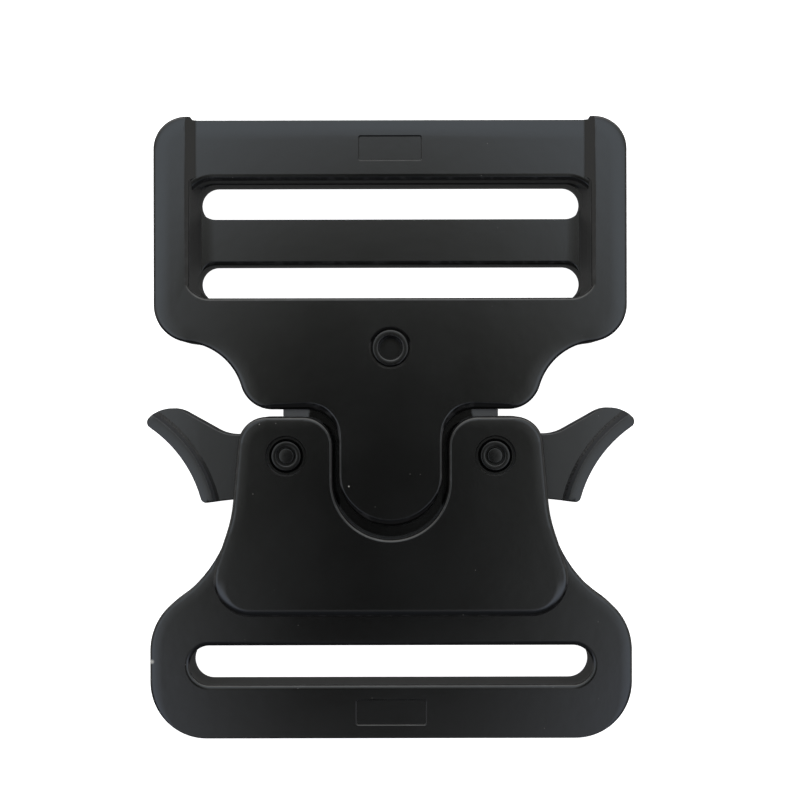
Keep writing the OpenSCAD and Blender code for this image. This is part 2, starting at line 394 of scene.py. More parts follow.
    def _metallic_ends(self, sheet: NodeSheet, place: bpy.types.NodeSocket) -> Signal:
        """Where the plate turns lighter and metallic, beyond a distance from its middle line."""
        ragged = self.RAGGED * MM * (self._noise(sheet, place, self.RAGGED_SIZE, detail=3.0) - 0.5)
        return (abs(sheet.parts(place)[0]) + ragged).ramp_mm(self.metallic_from - self.METALLIC_FADE, self.metallic_from)


Materials = dict[Slot, bpy.types.Material]
Rule = Callable[[Vector], float]
Number = float | Rule
Ring = list[Vector]


def value_at(number: Number, point: Vector) -> float:
    """A number, or what a rule gives for a point of an outline."""
    return number(point) if callable(number) else number


def blend(first: float, second: float, at: float, start: float, end: float) -> float:
    """Goes from the first number, where at is start or less, to the second, where it is end or more."""
    return first + (second - first) * max(0.0, min(1.0, (at - start) / (end - start)))


@dataclass(frozen=True)
class Disc:
    """Disc that a belt runs round, in millimetres: a hollow if radius is negative, a corner if it is 0."""

    x: float
    y: float
    radius: float = 0.0

    @property
    def centre(self) -> Vector:
        """The disc's centre."""
        return Vector((self.x, self.y))


def mirrored(right: list[Disc]) -> list[Disc]:
    """The right half's discs, from bottom to top, followed by their mirror images."""
    return right + [Disc(-disc.x, disc.y, disc.radius) for disc in reversed(right) if disc.x > 0]


def stadium(length: float, height: float, y: float) -> list[Disc]:
    """Discs at the round ends of a slot, whose middle line lies at y."""
    reach = (length - height) / 2
    return [Disc(-reach, y, height / 2), Disc(reach, y, height / 2)]


def crossing(a: Vector, a_r: float, b: Vector, b_r: float) -> Vector:
    """Where the circles round two centres cross, on the left of the way from the first to the second.

    Args:
        a: First centre.
        a_r: Radius round it.
        b: Second centre.
        b_r: Radius round it.

    Returns:
        The crossing.
    """
    way = b - a
    along = (way.length + (a_r * a_r - b_r * b_r) / way.length) / 2
    across = math.sqrt(a_r * a_r - along * along)
    return a + (way * along + Vector((-way.y, way.x)) * across) / way.length


class Belt:
    """Closed outline of a belt round discs, counterclockwise, with an outward normal at each point."""

    STEP_DEG = 4.0
    LEAST_DEG = 0.1
    SAME = 0.002

    def __init__(self, discs: list[Disc]) -> None:
        """Lays the belt.

        Args:
            discs: The discs in their order round the outline, with the material on the left.
        """
        self.points: list[Vector] = []
        self.normals: list[Vector] = []
        ways = [self._heading(disc, discs[(i + 1) % len(discs)]) for i, disc in enumerate(discs)]
        for i, disc in enumerate(discs):
            self._wrap(disc, ways[i - 1], ways[i])
        if (self.points[0] - self.points[-1]).length < self.SAME:
            self.points.pop()
            self.normals.pop()

    @staticmethod
    def _heading(start: Disc, end: Disc) -> float:
        """Direction in degrees in which the belt runs from one disc to the next.

        Args:
            start: First disc.
            end: Next disc.

        Returns:
            The direction.
        """
        way = end.centre - start.centre
        lean = max(-1.0, min(1.0, (start.radius - end.radius) / way.length))
        return math.degrees(math.atan2(way.y, way.x) + math.asin(lean))

    @staticmethod
    def _side(angle: float) -> Vector:
        """Outward normal of a stretch that runs in a direction given in degrees."""
        return Vector((math.sin(math.radians(angle)), -math.cos(math.radians(angle))))

    def _wrap(self, disc: Disc, before: float, after: float) -> None:
        """Adds the points where the belt lies on a disc.

        Args:
            disc: The disc.
            before: Direction in which the belt reaches it, in degrees.
            after: Direction in which it leaves.
        """
        if disc.radius == 0:
            first, second = self._side(before), self._side(after)
            self._add(disc.centre, (first + second) / (1 + first.dot(second)))
            return
        left = (after - before) % 360
        if disc.radius > 0:
            turn = 0.0 if left > 360 - self.LEAST_DEG else left
        else:
            turn = 0.0 if left < self.LEAST_DEG else left - 360
        steps = max(1, math.ceil(abs(turn) / self.STEP_DEG))
        for i in range(steps + 1):
            normal = self._side(before + turn * i / steps)
            self._add(disc.centre + normal * disc.radius, normal)

    def _add(self, point: Vector, normal: Vector) -> None:
        """Adds a point unless the last one is in the same place.

        Args:
            point: The point.
            normal: Its outward normal.
        """
        if not self.points or (self.points[-1] - point).length > self.SAME:
            self.points.append(point)
            self.normals.append(normal)

    def ring(self, inset: Number, level: Number) -> Ring:
        """The outline moved inwards and put at a height, in metres."""
        return [(point - normal * value_at(inset, point)).to_3d() * MM
                + Vector((0, 0, value_at(level, point) * MM))
                for point, normal in zip(self.points, self.normals)]


@dataclass(frozen=True)
class Rim:
    """End of a wall: the level that it reaches and the radius of its rounding, in millimetres.

    The rounding ends where it leans by the tilt, in degrees. From there a crown, a band in which the face
    bends gently, leads on to the level face, and without one the two meet in a crease. A flared rim opens
    outwards, as the mouth of a hole does, and runs a hair past its level.
    """

    level: Number
    radius: Number = 0.0
    crown: Number = 0.0
    tilt: Number = 0.0
    flared: bool = False

    STEPS = 8
    CROWN_STEPS = 5
    LEAST_DEG = 0.01
    HAIR = 0.004

    def reach(self, point: Vector) -> float:
        """How far the rim reaches across from the wall."""
        return self._profile(point, self.STEPS + self.CROWN_STEPS)[0]

    def rings(self, belt: Belt, up: int) -> list[Ring]:
        """Rings of a rounded end.

        Args:
            belt: The wall's outline.
            up: 1 at the front end, -1 at the back end.

        Returns:
            The rings, from the wall to the level face.
        """
        side = -1 if self.flared else 1
        past = self.HAIR if self.flared else 0.0

        def ring(step: int) -> Ring:
            """One ring of the rounding or of the crown."""
            return belt.ring(lambda p: side * self._profile(p, step)[0],
                             lambda p: value_at(self.level, p) + up * (past - self._profile(p, step)[1]))

        return [ring(step) for step in range(self.STEPS + self.CROWN_STEPS + 1)]

    def _profile(self, point: Vector, step: int) -> Pair:
        """How far a ring lies across from the wall and below the level, at a point of the outline.

        Args:
            point: Point of the outline.
            step: Number of the ring, from the wall on.

        Returns:
            Both distances, in millimetres.
        """
        lean = math.radians(max(self.LEAST_DEG, value_at(self.tilt, point)))
        radius = value_at(self.radius, point)
        crown = value_at(self.crown, point)
        if step <= self.STEPS:
            bend = math.pi / 2 + (lean - math.pi / 2) * step / self.STEPS
            drop = radius * (math.cos(lean) - math.cos(bend)) + crown * math.tan(lean / 2)
            return radius * (1 - math.sin(bend)), drop
        bend = lean * (1 - (step - self.STEPS) / self.CROWN_STEPS)
        across = radius * (1 - math.sin(lean)) + crown * (1 - math.sin(bend) / math.sin(lean))
        return across, crown * (1 - math.cos(bend)) / math.sin(lean)


class Solid:
    """Closed mesh that is drawn ring by ring and then cut, joined and finished."""

    SMOOTH_DEG = 17.0
    AREA_WEIGHT = 100
    WORN_BENDS = (8.0, 40.0)
    BROAD = 0.08
    LEVEL = 0.99
    STEEP = 0.1
    DIGITS = 8
    MERGE = 0.0015
    PAST = 1.0
    PANEL_DEPTH = 0.25
    PANEL_INSET = 0.35
    PANEL_CORNER_R = 0.2
    PANEL_MOUTH_R = 0.18

    def __init__(self, rings: list[Ring]) -> None:
        """Draws the first ring from a circle and extrudes it through the others.

        Args:
            rings: Rings of equally many points, in metres.
        """
        bpy.ops.object.select_all(action="DESELECT")
        bpy.ops.mesh.primitive_circle_add(vertices=len(rings[0]), fill_type="NGON")
        self.thing = bpy.context.object
        places = {self._key(vertex.co): i for i, vertex in enumerate(self.thing.data.vertices)}
        bpy.ops.object.mode_set(mode="EDIT")
        bpy.ops.mesh.select_mode(type="VERT")
        bpy.ops.mesh.select_all(action="SELECT")
        for i, ring in enumerate(rings):
            if i:
                bpy.ops.mesh.extrude_region_move()
            self._place(ring, places)
            places = {self._key(point): j for j, point in enumerate(ring)}
        bpy.ops.mesh.select_all(action="SELECT")
        bpy.ops.mesh.remove_doubles(threshold=self.MERGE * MM / 10)
        bpy.ops.mesh.normals_make_consistent(inside=False)
        bpy.ops.object.mode_set(mode="OBJECT")

    @staticmethod
    def _key(point: Vector) -> Triple:
        """A point's coordinates, rounded so that they can be looked up."""
        return tuple(round(part, Solid.DIGITS) for part in point)

    def _place(self, ring: Ring, places: dict[Triple, int]) -> None:
        """Moves the selected vertices to a ring's points.

        Args:
            ring: The ring.
            places: Where in the ring each vertex goes, by its place.
        """
        book = bmesh.from_edit_mesh(self.thing.data)
        for vertex in book.verts:
            if vertex.select:
                vertex.co = ring[places[self._key(vertex.co)]]
        bmesh.update_edit_mesh(self.thing.data)

    @classmethod
    def slab(cls, discs: list[Disc], back: Rim, front: Rim) -> "Solid":
        """Plate with rounded rims.

        Args:
            discs: Discs of its outline.
            back: Its back end.
            front: Its front end.

        Returns:
            The plate.
        """
        belt = Belt(discs)
        return cls(back.rings(belt, -1)[::-1] + front.rings(belt, 1))

    @classmethod
    def opening(cls, discs: list[Disc], back: Rim, front: Rim) -> "Solid":
        """Cutter for an opening whose mouths are rounded, which runs past both mouths.

        Args:
            discs: Discs of its outline.
            back: Its mouth at the back.
            front: Its mouth at the front.

        Returns:
            The cutter.
        """
        belt = Belt(discs)
        below = belt.ring(lambda p: -back.reach(p), lambda p: value_at(back.level, p) - cls.PAST)
        above = belt.ring(lambda p: -front.reach(p), lambda p: value_at(front.level, p) + cls.PAST)
        return cls([below] + back.rings(belt, -1)[::-1] + front.rings(belt, 1) + [above])

    @classmethod
    def panel(cls, half_w: float, low: float, high: float, level: float) -> "Solid":
        """Cutter for a shallow sunk panel with rounded corners and a rounded mouth.

        Args:
            half_w: Half of its width, in millimetres.
            low: Its lower edge.
            high: Its upper edge.
            level: Level of the face that it is sunk in.

        Returns:
            The cutter.
        """
        belt = Belt(mirrored([Disc(half_w - cls.PANEL_INSET, y, cls.PANEL_CORNER_R)
                              for y in (low + cls.PANEL_INSET, high - cls.PANEL_INSET)]))
        mouth = Rim(level, cls.PANEL_MOUTH_R, flared=True)
        above = belt.ring(-cls.PANEL_MOUTH_R, level + cls.PAST)
        return cls([belt.ring(0.0, level - cls.PANEL_DEPTH)] + mouth.rings(belt, 1) + [above])

    @classmethod
    def block(cls, half_w: float, y: Pair, z: Pair) -> "Solid":
        """Square block on both sides of the middle line, in millimetres."""
        belt = Belt(mirrored([Disc(half_w, end) for end in y]))
        return cls([belt.ring(0.0, end) for end in z])

    @classmethod
    def beam(cls, discs: list[Disc], across: bool, low: float, high: float) -> "Solid":
        """Straight beam whose cross-section is a belt.

        Args:
            discs: Discs of the cross-section, whose second coordinate is the height.
            across: True if the beam runs along x and the section lies in y and z, False if it runs along y.
            low: Where it starts, in millimetres.
            high: Where it ends.

        Returns:
            The beam.
        """
        points = Belt(discs).points
        return cls([[Vector((end, p.x, p.y) if across else (p.x, end, p.y)) * MM for p in points]
                    for end in (low, high)])

    @classmethod
    def turned(cls, corners: Sequence[Triple], centre: Pair, sides: int = 96) -> "Solid":
        """Turned piece.

        Args:
            corners: Radius, height and rounding of each corner of its profile, from the axis to the axis.
            centre: Where its axis stands.
            sides: Points round a ring.

        Returns:
            The turned piece.
        """
        angles = [2 * math.pi * i / sides for i in range(sides)]
        middle = Vector((*centre, 0))
        return cls([[(Vector((r * math.cos(a), r * math.sin(a), z)) + middle) * MM for a in angles]
                    for r, z in rounded_path(corners)])

    def _combine(self, tool: "Solid", operation: str) -> "Solid":
        """Applies a boolean modifier with another solid, which is used up.

        Args:
            tool: The other solid.
            operation: Name of the operation.

        Returns:
            This solid.
        """
        modifier = self.thing.modifiers.new(operation.lower(), "BOOLEAN")
        modifier.operation = operation
        modifier.solver = "EXACT"
        modifier.object = tool.thing
        bpy.context.view_layer.objects.active = self.thing
        bpy.ops.object.modifier_apply(modifier=modifier.name)
        mesh = tool.thing.data
        bpy.data.objects.remove(tool.thing)
        bpy.data.meshes.remove(mesh)
        return self

    def cut(self, *tools: "Solid") -> "Solid":
        """Takes other solids away from this one.

        Args:
            tools: The other solids.

        Returns:
            This solid.
        """
        for tool in tools:
            self._combine(tool, "DIFFERENCE")
        return self

    def join(self, tool: "Solid") -> "Solid":
        """Adds another solid to this one."""
        return self._combine(tool, "UNION")

    def keep(self, tool: "Solid") -> "Solid":
        """Keeps only what lies within another solid too."""
        return self._combine(tool, "INTERSECT")

    def _open(self) -> None:
        """Opens this mesh alone in edit mode, with all of it selected."""
        bpy.ops.object.select_all(action="DESELECT")
        self.thing.select_set(True)
        bpy.context.view_layer.objects.active = self.thing
        bpy.ops.object.mode_set(mode="EDIT")
        bpy.ops.mesh.select_all(action="SELECT")

    def mirror(self) -> "Solid":
        """Turns a right piece into a left one.

        Returns:
            This solid.
        """
        self._open()
        bpy.ops.transform.mirror(constraint_axis=(True, False, False), orient_type="GLOBAL",
                                 center_override=(0, 0, 0))
        bpy.ops.mesh.normals_make_consistent(inside=False)
        bpy.ops.object.mode_set(mode="OBJECT")
        return self

    def finish(self, name: str, node: str, body: Body, slot: Slot, materials: Materials) -> None:
        """Cleans and smooths the mesh, gives it its finish and puts it in the place of its node.

        Args:
            name: Name of the piece.
            node: Node of the frame that it stands for.
            body: Body that it moves with.
            slot: Slot of the record whose finish it gets.
            materials: The finishes.
        """
        self.thing.name = self.thing.data.name = name
        self._open()
        bpy.ops.mesh.remove_doubles(threshold=self.MERGE * MM)
        bpy.ops.mesh.dissolve_degenerate(threshold=self.MERGE * MM)
        bpy.ops.object.mode_set(mode="OBJECT")
        self._mark_edges()
        bpy.ops.object.shade_smooth_by_angle(angle=math.radians(self.SMOOTH_DEG))
        even = self.thing.modifiers.new("even normals", "WEIGHTED_NORMAL")
        even.keep_sharp = True
        even.weight = self.AREA_WEIGHT
        bpy.ops.object.modifier_apply(modifier=even.name)
        self.thing.data.materials.clear()
        self.thing.data.materials.append(materials[slot])
        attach(self.thing, body.value)
        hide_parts(node)
        log.info("%s replaces %s with %d faces", name, node, len(self.thing.data.polygons))

    def _mark_edges(self) -> None:
        """Marks the points on rounded edges, where the coating wears first, and makes some rims sharp.

        Those are the rims of steep sides at points that a level face shares, where the shading would bend.
        """
        book = bmesh.new()
        book.from_mesh(self.thing.data)
        layer = book.verts.layers.float.new(EDGE)
        for vertex in book.verts:
            vertex[layer] = float(self._is_rounded(vertex))
            if any(abs(face.normal.z) > self.LEVEL for face in vertex.link_faces):
                for edge in vertex.link_edges:
                    steep = [abs(face.normal.z) < self.STEEP for face in edge.link_faces]
                    if any(steep) and not all(steep):
                        edge.smooth = False
        book.to_mesh(self.thing.data)
        book.free()

    def _is_rounded(self, vertex: bmesh.types.BMVert) -> bool:
        """True for a point where narrow faces meet in a slight bend.

        Args:
            vertex: The point.

        Returns:
            Whether it lies on a rounded edge.
        """
        bend = math.degrees(max((edge.calc_face_angle(0.0) for edge in vertex.link_edges), default=0.0))
        broad = max((face.calc_area() / face.calc_perimeter() for face in vertex.link_faces), default=0.0)
        return self.WORN_BENDS[0] < bend < self.WORN_BENDS[1] and broad < self.BROAD * MM


def rounded_path(corners: Sequence[Triple], steps: int = 8) -> list[Pair]:
    """A path with an arc in place of each corner that has a rounding.

    Args:
        corners: Two coordinates and the rounding's radius of each corner.
        steps: Steps of each arc.

    Returns:
        The points of the path.
    """
    path = []
    for i, (x, y, radius) in enumerate(corners):
        corner = Vector((x, y))
        if radius == 0:
            path.append(corner)
            continue
        back = (Vector(corners[i - 1][:2]) - corner).normalized()
        ahead = (Vector(corners[i + 1][:2]) - corner).normalized()
        half = back.angle(ahead) / 2
        centre = corner + (back + ahead).normalized() * (radius / math.sin(half))
        start = corner + back * (radius / math.tan(half)) - centre
        end = corner + ahead * (radius / math.tan(half)) - centre
        turn = start.angle_signed(end)
        for step in range(steps + 1):
            spin = -turn * step / steps
            path.append(centre + Vector((start.x * math.cos(spin) - start.y * math.sin(spin),
                                         start.x * math.sin(spin) + start.y * math.cos(spin))))
    return [(point.x, point.y) for point in path]


FLECKS = (
    Mark((-5.1, -7.0, 10.0), 0.13, 0.9), Mark((-16.0, 0.6, 10.0), 0.1, 0.4),
    Mark((-14.0, 0.7, 10.0), 0.08, 0.3), Mark((10.7, -22.9, 9.8), 0.12, 0.5),
    Mark((-23.6, 20.9, 7.0), 0.12, 0.35), Mark((-16.8, -7.9, 10.0), 0.09, 0.3),
    Mark((-29.5, -28.7, 7.2), 0.4, 1.0),
)

FINISHES = {
    Slot.CASTING: Finish("black_coat_on_casting", (0.0013, 0.0013, 0.0012), (0.002, 0.002, 0.0018), 0.15,
                         marks=FLECKS),
    # The lever's wall colour is painted light on its steep sides
    Slot.LEVER: Finish("black_coat_on_lever", (0.0078, 0.0076, 0.0068), (0.011, 0.0108, 0.0098), 0.22,
                       wall=(0.027, 0.028, 0.031), wall_from=0.85),
    Slot.RIVET: Finish("black_coat_on_rivet", (0.0013, 0.0013, 0.0013), (0.0022, 0.0022, 0.0022), 0.15),
    # The plate turns lighter and metallic beyond 10.3 mm from the middle line
    Slot.STEEL: Finish("coat_on_plate", (0.0015, 0.0015, 0.0015), (0.0025, 0.0025, 0.0025), 0.13, 0.03,
                       metallic_from=10.3),
}

# Where the points of a gentle bend lie, as parts of its width
FIFTHS = (0.0, 0.2, 0.4, 0.6, 0.8, 1.0)


@dataclass(frozen=True)
class Sizes:
    """Sizes that the pieces share, in millimetres, as in the part's source."""

    top_y: float = 38.2
    pocket_top: float = 30.3
    pocket_bottom: float = 16.0
    shoulder_y: float = 2.4
    lobe_top: float = 1.5
    cavity_z: float = 2.6
    cover_z: float = 7.4
    front_z: float = 10.0
    plate_low: float = 2.8
    plate_high: float = 7.2
    pivot: Pair = (12.8, -3.3)
    pin_r: float = 1.5
    pin_gap: float = 0.05
    slot_back: Rim = Rim(0, 0.5, flared=True)
    lobe: Disc = Disc(15.15, -2.0, 3.5)
    waist: Disc = Disc(35.8, -7.4, -16.6)

    @property
    def plate(self) -> tuple[Rim, Rim]:
        """The square rims of the middle layer."""
        return Rim(self.plate_low), Rim(self.plate_high)


SIZES = Sizes()


def through(radius: float) -> list[Triple]:
    """Profile of a round bar that runs through the whole thickness and past it."""
    return [(radius, -Solid.PAST, 0), (radius, SIZES.front_z + Solid.PAST, 0)]


def at_pivots(corners: Sequence[Triple]) -> list[Solid]:
    """A turned solid at each of the two pivots."""
    x, y = SIZES.pivot
    return [Solid.turned(corners, (x, y)), Solid.turned(corners, (-x, y))]


@dataclass
class AdjusterHalf:
    """Upper half: the casting with rails and tongue, the latch plate and its rivet.

    Sizes are in millimetres, leans and tilts in degrees.
    """

    width: float = 57.8
    corner_r: float = 4.0
    side_r: float = 4.6
    side_drop: float = 0.8
    waist_r: float = 7.5
    shoulder_x: float = 14.4
    rail_w: float = 4.3
    rail_lean: float = 14.0
    foot_w: float = 1.6
    foot_tilt: float = 3.5
    rail_tip: float = 0.35
    top_bar_z: float = 9.0
    bar_z: float = 5.5
    slot_l: float = 47.7
    slot_h: float = 4.3
    tongue_l: float = 14.3
    tongue_w: float = 12.7
    tongue_z: float = 7.25
    rivet_at: Pair = (0.0, 9.9)
    back_r: float = 0.8
    shoulder_edge_r: float = 1.0
    rail_edge_r: float = 0.3
    rail_crown: float = 1.8
    crown_tilt: float = 2.0
    tongue_side_r: float = 0.34
    tongue_end_r: float = 0.9
    inner_edge_r: float = 1.1
    inner_crease: float = 20.0
    top_edge_r: float = 0.15
    top_crown: float = 2.4
    top_tilt: float = 3.0
    lower_edge_r: float = 0.5
    lower_crown: float = 0.55
    lower_tilt: float = 6.0
    pocket_edge_r: float = 0.4
    pocket_low_r: float = 3.0
    pocket_high_r: float = 3.4
    pocket_wide: float = 0.5
    pocket_tall: float = 0.15
    bar_edge_r: float = 0.6
    step_top_x: float = 25.15
    step_w: float = 1.42
    step_r: float = 0.4
    tip_w: float = 4.5
    tip_r: float = 0.3
    tip_flare: float = 0.5

    # How far cutters run out past the piece, and small steps that keep their faces apart
    OUT = 2.0
    ASIDE = 30.0
    NUDGE = 0.01
    RISE = 0.02

    # Where the rounding of the front's edge changes: on the tongue, past the shoulders, and across a slot
    TONGUE_MIDDLE = -5.0
    TONGUE_END = (-11.8, -7.5)
    TONGUE_ROOT = (-1.0, 2.0)
    SHOULDER_END = (13.5, 6.0)
    PAST_SHOULDER = (0.0, 2.5)
    BAR_SIDE = (1.2, 2.1)

    # Half the width and the two ends of the sunk panel, with its level, and of the rooms for the latch plate
    PANEL = (3.95, 32.8, 36.0, 9.0)
    ROOMS = ((13.35, 1.4, 5.7), (8.1, 2.4, 13.1))

    # Discs round the right half of the latch plate and of its head, and the radius of the head's hollows
    LATCH = (Disc(6.3, -12), Disc(10.2, -2.7, -3.9), Disc(12.75, 1.7, 0.5), Disc(12.75, 5.1, 0.5),
             Disc(8, 5.6), Disc(7.5, 12.5, 0.5))
    HEAD = (Disc(5.2, -13.9, 3), Disc(8.2, -11.75))
    HOLLOW_R = 10.6

    # Radius of the plate's hole, and radius, height and rounding of each corner of the rivet and its seat
    HOLE_R = 1.85
    SEAT = ((2.85, -1, 0), (2.85, 0, 0), (1.85, 1, 0), (1.85, 8.55, 0), (2.35, 8.55, 0), (2.35, 9.75, 0),
            (2.6, 10, 0), (2.6, 11, 0))
    RIVET = ((2.7, 0.1, 0.05), (1.8, 1, 0), (1.8, 8.6, 0), (2.25, 8.6, 0), (2.25, 9.8, 0.2),
             (1.45, 9.8, 0.2), (1.4, 9, 0), (1.4, 5.8, 0))

    def build(self, materials: Materials) -> None:
        """Builds and dresses the three pieces.

        Args:
            materials: The finishes.
        """
        self._casting().finish("adjuster_casting", "adjuster_body", Body.BUCKLE, Slot.CASTING, materials)
        self._latch().finish("latch", "latch_plate", Body.BUCKLE, Slot.STEEL, materials)
        rivet = Solid.turned(self.RIVET, self.rivet_at)
        rivet.finish("latch_tube_rivet", "latch_rivet", Body.BUCKLE, Slot.RIVET, materials)

    def _casting(self) -> Solid:
        """Casting, with its slots, its hollow between the rails, and the rooms for latch and rivet.

        Returns:
            The casting.
        """
        corner_r = self.corner_r
        shoulder = Disc(self.shoulder_x, SIZES.shoulder_y + corner_r, corner_r)
        side = Disc(self.width / 2 - self.side_r, SIZES.pocket_bottom - self.side_drop, self.side_r)
        rail = Disc(self.width / 2 - corner_r, SIZES.top_y - corner_r, corner_r)
        waist = crossing(side.centre, side.radius + self.waist_r, shoulder.centre, corner_r + self.waist_r)
        sides = [shoulder, Disc(waist.x, waist.y, -self.waist_r), side, rail]
        tongue = [Disc(0, SIZES.shoulder_y - self.tongue_l + self.tongue_w / 2, self.tongue_w / 2),
                  Disc(self.tongue_w / 2 + corner_r, SIZES.shoulder_y - corner_r, -corner_r)]
        body = Solid.slab(mirrored(sides), Rim(0, self.back_r), Rim(self.tongue_z))
        body.join(Solid.slab(mirrored(tongue + sides), Rim(self.tongue_z),
                             Rim(SIZES.front_z, self._edge, self._crown, self.crown_tilt)))
        levels = (SIZES.plate_low - SIZES.pin_gap, self.tongue_z)
        return body.cut(
            self._slot(SIZES.pocket_top - self.slot_h / 2, -1),
            self._slot(SIZES.pocket_bottom + self.slot_h / 2, 1),
            self._pocket(), self._over_top_bar(), self._between_tips(), Solid.panel(*self.PANEL),
            *[Solid.block(half_w, (low, high), levels) for half_w, low, high in self.ROOMS],
            Solid.turned(self.SEAT, self.rivet_at))

    def _edge(self, point: Vector) -> float:
        """Radius of the front's rounded edge: wide at the shoulders and the tongue's end, finer elsewhere.

        Args:
            point: Point of the outline.

        Returns:
            The radius.
        """
        if point.y < self.TONGUE_MIDDLE:
            return blend(self.tongue_end_r, self.tongue_side_r, point.y, *self.TONGUE_END)
        if point.y < SIZES.shoulder_y:
            return blend(self.tongue_side_r, self.shoulder_edge_r, point.y, *self.TONGUE_ROOT)
        return self._past_shoulder(point, self.shoulder_edge_r, self.rail_edge_r)

    def _crown(self, point: Vector) -> float:
        """Width of the front's crown, which runs along the waist and the rails."""
        return 0.0 if point.y < SIZES.shoulder_y else self._past_shoulder(point, 0.0, self.rail_crown)

    def _past_shoulder(self, point: Vector, first: float, second: float) -> float:
        """Goes from the first number at the shoulders' lower edge to the second on waist and rails."""
        x, y = self.SHOULDER_END
        return blend(first, second, max(abs(point.x) - x, point.y - y), *self.PAST_SHOULDER)

    def _slot(self, y: float, bar_side: int) -> Solid:
        """Cutter for a webbing slot, rounded at the back and along the middle bar.

        Args:
            y: Height of the slot's middle line.
            bar_side: 1 if the middle bar is above the slot, -1 if it is below.

        Returns:
            The cutter.
        """
        full = self.bar_edge_r if bar_side > 0 else self.top_edge_r

        def radius(point: Vector) -> float:
            """Radius of the front mouth's rounding."""
            return blend(0.0, full, (point.y - y) * bar_side, *self.BAR_SIDE)

        front = Rim(self.bar_z, radius, flared=True)
        return Solid.opening(stadium(self.slot_l, self.slot_h, y), SIZES.slot_back, front)

    def _between_rails(self) -> list[Disc]:
        """Section of the room between the rails, whose inner faces lean and whose front edges are rounded.

        The floor bends up a little to the foot of the rails, and the roundings start at a crease.

        Returns:
            Discs of the section, whose second coordinate is the height.
        """
        rail_x = self.width / 2 - self.rail_w
        lean = math.radians(self.rail_lean)
        crease = math.radians(self.inner_crease)
        drop = self.inner_edge_r * math.cos(crease)
        edge_x = rail_x - drop * math.tan(lean) + self.inner_edge_r / math.cos(lean)
        crease_x = edge_x - self.inner_edge_r * math.sin(crease)
        foot_x = rail_x - (SIZES.front_z - self.bar_z) * math.tan(lean)
        rise = self.foot_w * math.tan(math.radians(self.foot_tilt)) / 2
        floor = [Disc(foot_x - self.foot_w * (1 - part), self.bar_z + rise * part * part) for part in FIFTHS]
        return mirrored([*floor, Disc(edge_x, SIZES.front_z - drop, -self.inner_edge_r),
                         Disc(crease_x, SIZES.front_z), *self._out(crease_x)])

    def _over_steps(self) -> list[Disc]:
        """Section of the room over the top bar, with the sloping steps up to the rails.

        Returns:
            Discs of the section, whose second coordinate is the height.
        """
        foot_x = self.step_top_x - self.step_w
        return mirrored([Disc(foot_x - self.NUDGE, self.bar_z), Disc(foot_x - self.NUDGE, self.top_bar_z),
                         Disc(foot_x, self.top_bar_z + self.step_r, self.step_r),
                         Disc(self.step_top_x, SIZES.front_z - self.step_r, -self.step_r),
                         *self._out(self.step_top_x)])

    def _out(self, x: float) -> list[Disc]:
        """End of a section that runs out over the front from x on."""
        return [Disc(x + self.OUT, SIZES.front_z + rise) for rise in (self.RISE, self.OUT)]

    def _pocket(self) -> Solid:
        """Cutter for the hollow between the rails, over the slots and the middle bar.

        Returns:
            The cutter.
        """
        half = self.width / 2 - self.rail_w + self.pocket_wide
        plan = [Disc(half - self.pocket_low_r, SIZES.pocket_bottom + self.pocket_low_r, self.pocket_low_r),
                Disc(half - self.pocket_high_r, SIZES.pocket_top + self.pocket_tall - self.pocket_high_r,
                     self.pocket_high_r)]
        middle = (SIZES.pocket_bottom + SIZES.pocket_top) / 2

        def either(top: float, bottom: float) -> Rule:
            """Rule that gives one number beside the top bar and the other at the lower end."""
            return lambda point: top if point.y > middle else bottom

        front = Rim(either(self.top_bar_z, SIZES.front_z), either(self.lower_edge_r, self.pocket_edge_r),
                    either(self.lower_crown, 0.0), self.lower_tilt, flared=True)
        room = Solid.beam(self._between_rails(), False, SIZES.pocket_bottom - self.OUT,
                          SIZES.pocket_top + self.OUT)
        return Solid.opening(mirrored(plan), Rim(self.bar_z), front).keep(room)

    def _over_top_bar(self) -> Solid:
        """Cutter for the room in front of the top bar, whose face bends gently down to its upper edge.

        Returns:
            The cutter.
        """
        end_y = SIZES.top_y - self.rail_tip
        low = SIZES.pocket_top - self.OUT
        fall = self.top_crown * math.tan(math.radians(self.top_tilt)) / 2
        crown = [Disc(end_y - self.top_crown * (1 - part), self.top_bar_z - fall * part * part)
                 for part in FIFTHS[:-1]]
        radius = self.top_edge_r
        past_y = end_y + self.OUT + Solid.PAST
        past_z = SIZES.front_z + Solid.PAST
        section = [Disc(low, self.top_bar_z), *crown,
                   Disc(end_y - radius, crown[-1].y - radius - self.NUDGE, -radius),
                   Disc(end_y, 0), Disc(past_y, 0), Disc(past_y, past_z), Disc(low, past_z)]
        room = Solid.beam(section, True, -self.ASIDE, self.ASIDE)
        return room.keep(Solid.beam(self._over_steps(), False, low - Solid.PAST, end_y + self.OUT))

    def _between_tips(self) -> Solid:
        """Cutter that takes the top bar's end back between the rails' tips.

        Returns:
            The cutter.
        """
        end_y = SIZES.top_y - self.rail_tip
        half = self.width / 2 - self.tip_w
        plan = [Disc(half - self.tip_r, end_y + self.tip_r, self.tip_r),
                Disc(half + self.tip_flare, end_y + self.OUT)]
        return Solid.opening(mirrored(plan), Rim(-Solid.PAST), Rim(SIZES.front_z + Solid.PAST))

    def _latch(self) -> Solid:
        """Latch plate: root and stem in the casting, and the neck with its wide head.

        Returns:
            The plate.
        """
        head = Solid.slab(mirrored([*self.HEAD]), *SIZES.plate).cut(*at_pivots(through(self.HOLLOW_R)))
        plate = Solid.slab(mirrored([*self.LATCH]), *SIZES.plate).join(head)
        return plate.cut(Solid.turned(through(self.HOLE_R), self.rivet_at))


